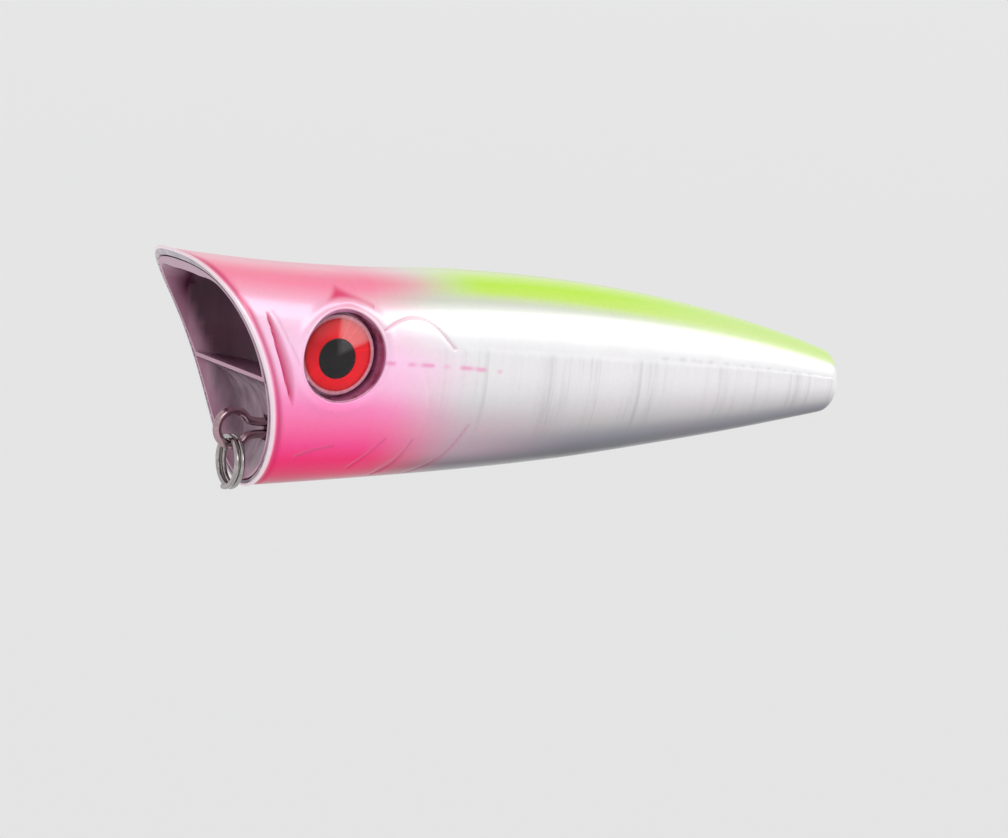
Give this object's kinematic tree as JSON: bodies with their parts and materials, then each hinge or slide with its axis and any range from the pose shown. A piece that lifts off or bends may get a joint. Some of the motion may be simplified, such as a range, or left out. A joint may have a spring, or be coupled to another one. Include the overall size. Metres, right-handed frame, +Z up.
{
  "type": "topwater popper",
  "caption": "Hollow topwater fishing lure with a concave scooped mouth, recessed 3-D eyes, a wire line tie with a split ring, and recessed hook pins under belly and tail.",
  "frame": {"origin": "centre of the line tie's wire eye, in the mouth's lower half", "axes": "+X from head to tail, +Z up through the back, -Y the lure's left flank"},
  "size_m": [0.0792, 0.0184, 0.0239],
  "materials": {
    "painted_shell_left": "gloss, pink head fading to silver flanks with a chartreuse back",
    "painted_shell_right": "gloss, pink head fading to silver flanks with a chartreuse back",
    "smoked_clear_plastic": "clear, smoked, polished",
    "tie_wire": "drawn or ground, bright",
    "ring_wire": "bright nickel plate",
    "iris_foil_left": "metallised red foil",
    "iris_foil_right": "metallised red foil",
    "pupil_black_left": "gloss black print",
    "pupil_black_right": "gloss black print",
    "lens_clear_left": "clear cast resin",
    "lens_clear_right": "clear cast resin",
    "belly_pin_steel": "drawn or ground, bright",
    "rear_pin_steel": "drawn or ground, bright",
    "slug_steel": "drawn or ground, bright",
    "tail_ball_steel_1": "drawn or ground, bright",
    "tail_ball_steel_2": "drawn or ground, bright",
    "rattle_steel_1": "drawn or ground, bright",
    "rattle_steel_2": "drawn or ground, bright",
    "rattle_steel_3": "drawn or ground, bright"
  },
  "bodies": {
    "lure": {"shell_left": "painted_shell_left", "shell_right": "painted_shell_right", "mouth_cup": "smoked_clear_plastic", "line_tie": "tie_wire", "eye_iris_left": "iris_foil_left", "eye_iris_right": "iris_foil_right", "eye_pupil_left": "pupil_black_left", "eye_pupil_right": "pupil_black_right", "eye_lens_left": "lens_clear_left", "eye_lens_right": "lens_clear_right", "belly_hook_pin": "belly_pin_steel", "rear_hook_pin": "rear_pin_steel", "belly_ballast": "slug_steel", "tail_ballast_1": "tail_ball_steel_1", "tail_ballast_2": "tail_ball_steel_2"},
    "ring": {"split_ring": "ring_wire"},
    "rattle_left": {"rattle_ball_1": "rattle_steel_1"},
    "rattle_middle": {"rattle_ball_2": "rattle_steel_2"},
    "rattle_right": {"rattle_ball_3": "rattle_steel_3"}
  },
  "joints": [
    {"name": "ring_swing", "type": "hinge", "parent": "lure", "child": "ring", "pos_m": [0, 0, 0], "axis": [0, 1, 0], "range_deg": [0, 140]},
    {"name": "rattle_left_roll", "type": "slide", "parent": "lure", "child": "rattle_left", "axis": [1, 0, 0], "range_m": [-0.0082, 0]},
    {"name": "rattle_middle_roll", "type": "slide", "parent": "lure", "child": "rattle_middle", "axis": [1, 0, 0], "range_m": [-0.0082, 0]},
    {"name": "rattle_right_roll", "type": "slide", "parent": "lure", "child": "rattle_right", "axis": [1, 0, 0], "range_m": [-0.0082, 0]}
  ]
}
